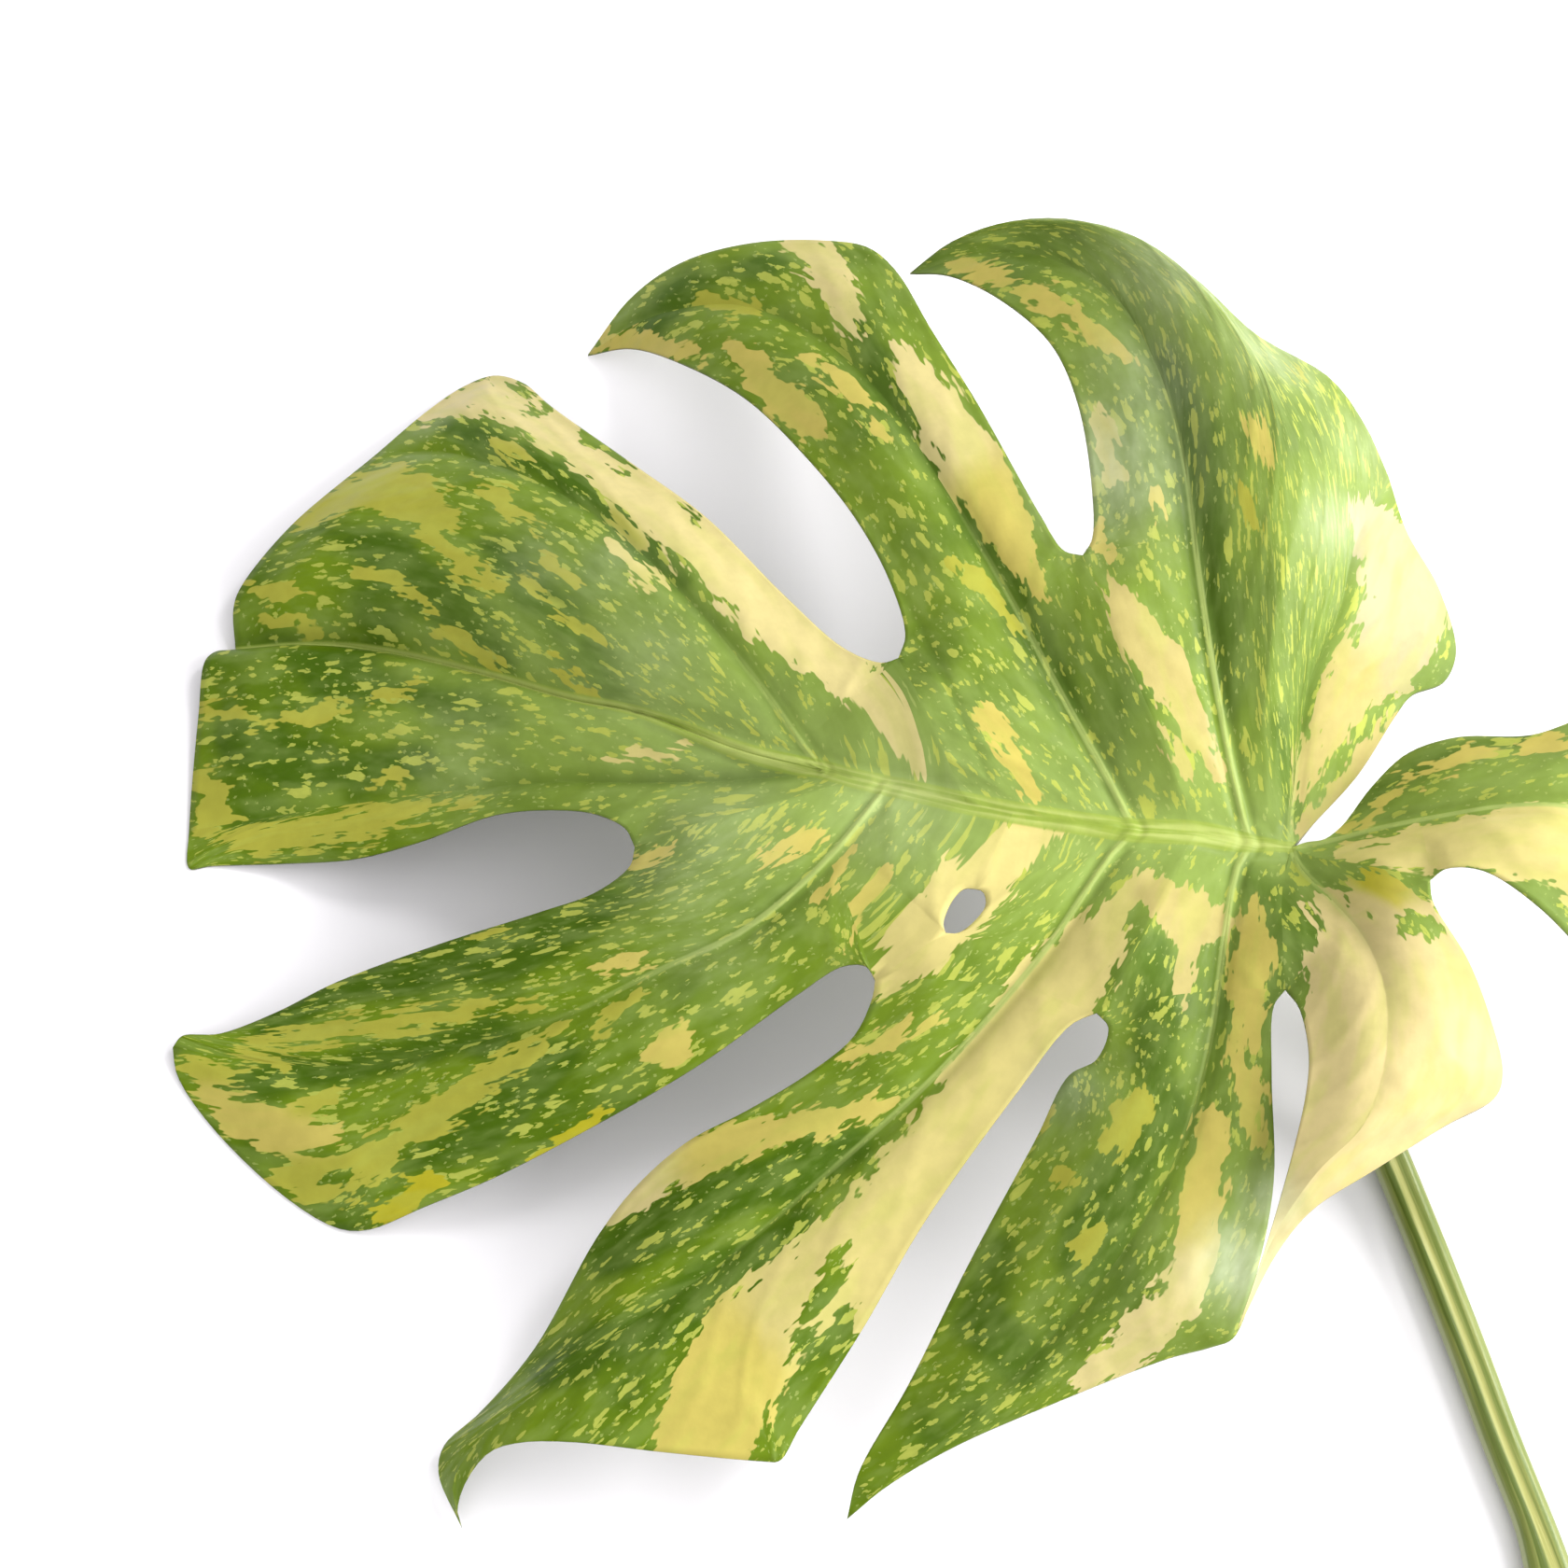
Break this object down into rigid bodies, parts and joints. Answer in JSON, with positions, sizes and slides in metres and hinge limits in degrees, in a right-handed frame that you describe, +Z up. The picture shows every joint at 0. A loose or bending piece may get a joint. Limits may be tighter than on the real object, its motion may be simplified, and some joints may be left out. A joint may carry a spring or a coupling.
{
  "type": "variegated monstera leaf",
  "caption": "Broad split leaf with a small hole near its midrib, streaked cream and lime on green, cut with its stalk and lying on a surface.",
  "frame": {"origin": "centre of the object's box in x and y, on the surface that it lies on", "axes": "+Z up from that surface; +Y from the stalk's cut end towards the blade's far lobes; +X from the leaf's tip towards its stalk"},
  "size_m": [0.3284, 0.3164, 0.0823],
  "materials": {
    "leaf_variegated": "soft waxy sheen, green with cream and lime streaks and flecks",
    "petiole_green": "smooth waxy stalk, mid green with a yellow-green stripe"
  },
  "bodies": {
    "root": {"leaf_blade": "leaf_variegated", "petiole": "petiole_green"}
  },
  "joints": []
}
